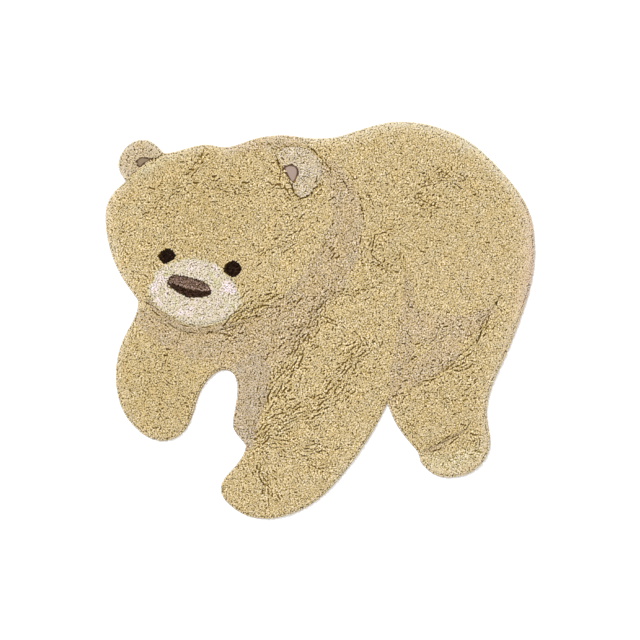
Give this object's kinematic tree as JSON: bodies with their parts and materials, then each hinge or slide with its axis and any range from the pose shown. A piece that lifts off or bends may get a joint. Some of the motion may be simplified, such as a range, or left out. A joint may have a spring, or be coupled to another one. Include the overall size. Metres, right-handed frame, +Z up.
{
  "type": "bear shaped kids rug",
  "caption": "Tufted cotton pile rug in the outline of a walking bear cub, flat on the floor, with carved lines in the pile and smooth patches inside the ears.",
  "frame": {"origin": "on the floor, under the middle of the rug's length and width", "axes": "+X along the rug's length, from the bear's head to its rump; +Y from its paws to its back; +Z up from the floor"},
  "size_m": [1.2, 1.11, 0.0178],
  "materials": {
    "pile": "matt tufted cotton pile, golden beige",
    "ear_patch": "matt woven cotton, mauve",
    "cream_pile": "matt tufted cotton pile, mottled cream, round the nose",
    "dark_pile": "matt tufted cotton pile, dark brown, of the eyes and the nose",
    "ground": "matt plain-weave cotton canvas with a folded hem, greyish beige"
  },
  "bodies": {
    "root": {"rug": "pile", "left_ear_patch": "ear_patch", "right_ear_patch": "ear_patch"}
  },
  "joints": []
}
